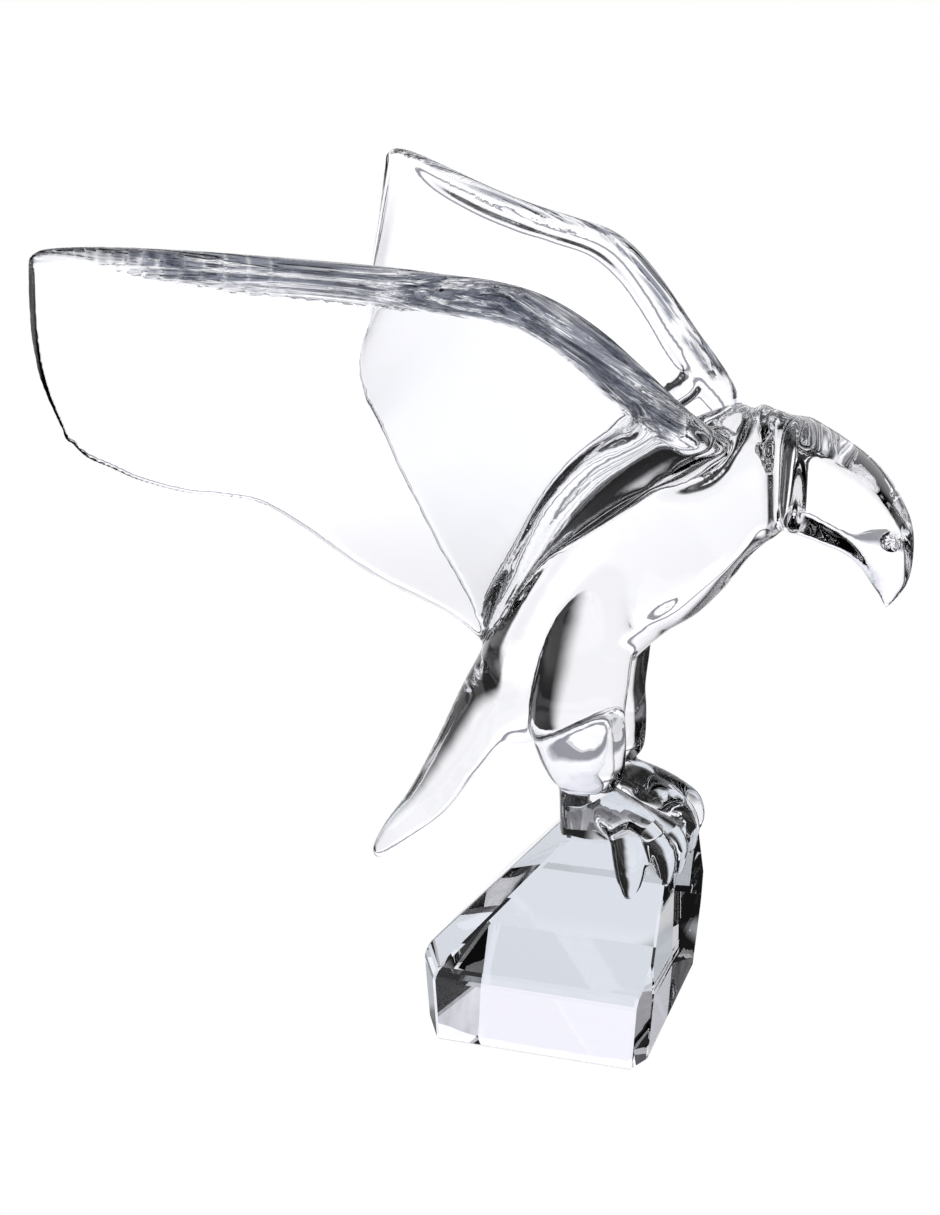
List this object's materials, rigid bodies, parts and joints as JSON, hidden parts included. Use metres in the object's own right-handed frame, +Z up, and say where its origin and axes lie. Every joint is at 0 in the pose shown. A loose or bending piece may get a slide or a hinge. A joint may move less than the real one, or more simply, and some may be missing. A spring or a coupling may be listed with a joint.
{
  "type": "crystal eagle sculpture",
  "caption": "Solid clear crystal eagle with raised, swept-back wings, perched on a bevelled crystal block cast with it. Rests on its flat underside as a desk or shelf ornament.",
  "frame": {"origin": "on the table, under the middle of the block's girdle rectangle", "axes": "+Z up, +X the way the eagle faces, wings spread along +Y and -Y"},
  "size_m": [0.2087, 0.2604, 0.2514],
  "materials": {
    "clear_crystal": "clear, colourless, fire-polished lead crystal"
  },
  "bodies": {
    "root": {"crystal_eagle": "clear_crystal"}
  },
  "joints": []
}
